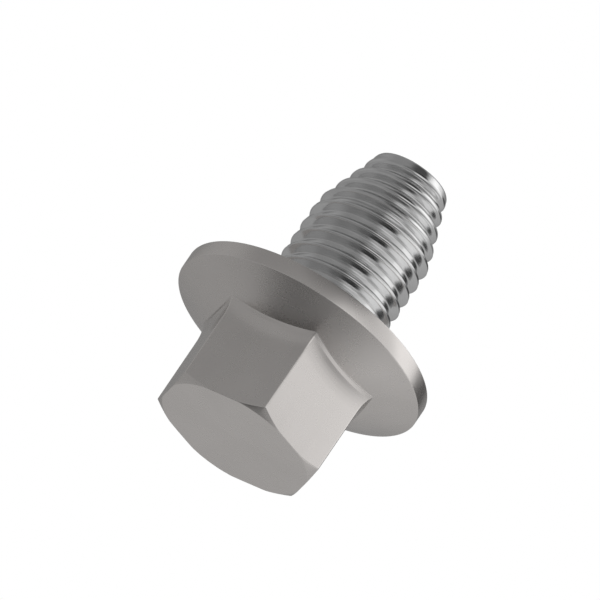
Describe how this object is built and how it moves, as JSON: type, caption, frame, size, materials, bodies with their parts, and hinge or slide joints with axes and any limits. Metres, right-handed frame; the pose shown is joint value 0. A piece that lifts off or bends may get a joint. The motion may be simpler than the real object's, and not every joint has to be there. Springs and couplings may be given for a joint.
{
  "type": "hex flange self-tapping screw",
  "caption": "Self-tapping screw with a chamfered hexagon head, a wide sloped flange, a rolled right-hand thread and a tapered lead at its flat tip.",
  "frame": {"origin": "centre of the flat end of the head, which the screw stands on", "axes": "+Z along the screw's axis from the head to the tip, and two corners of the hexagon on the X axis"},
  "size_m": [0.0168, 0.0168, 0.0206],
  "materials": {
    "steel": "satin"
  },
  "bodies": {
    "root": {"screw": "steel"}
  },
  "joints": []
}
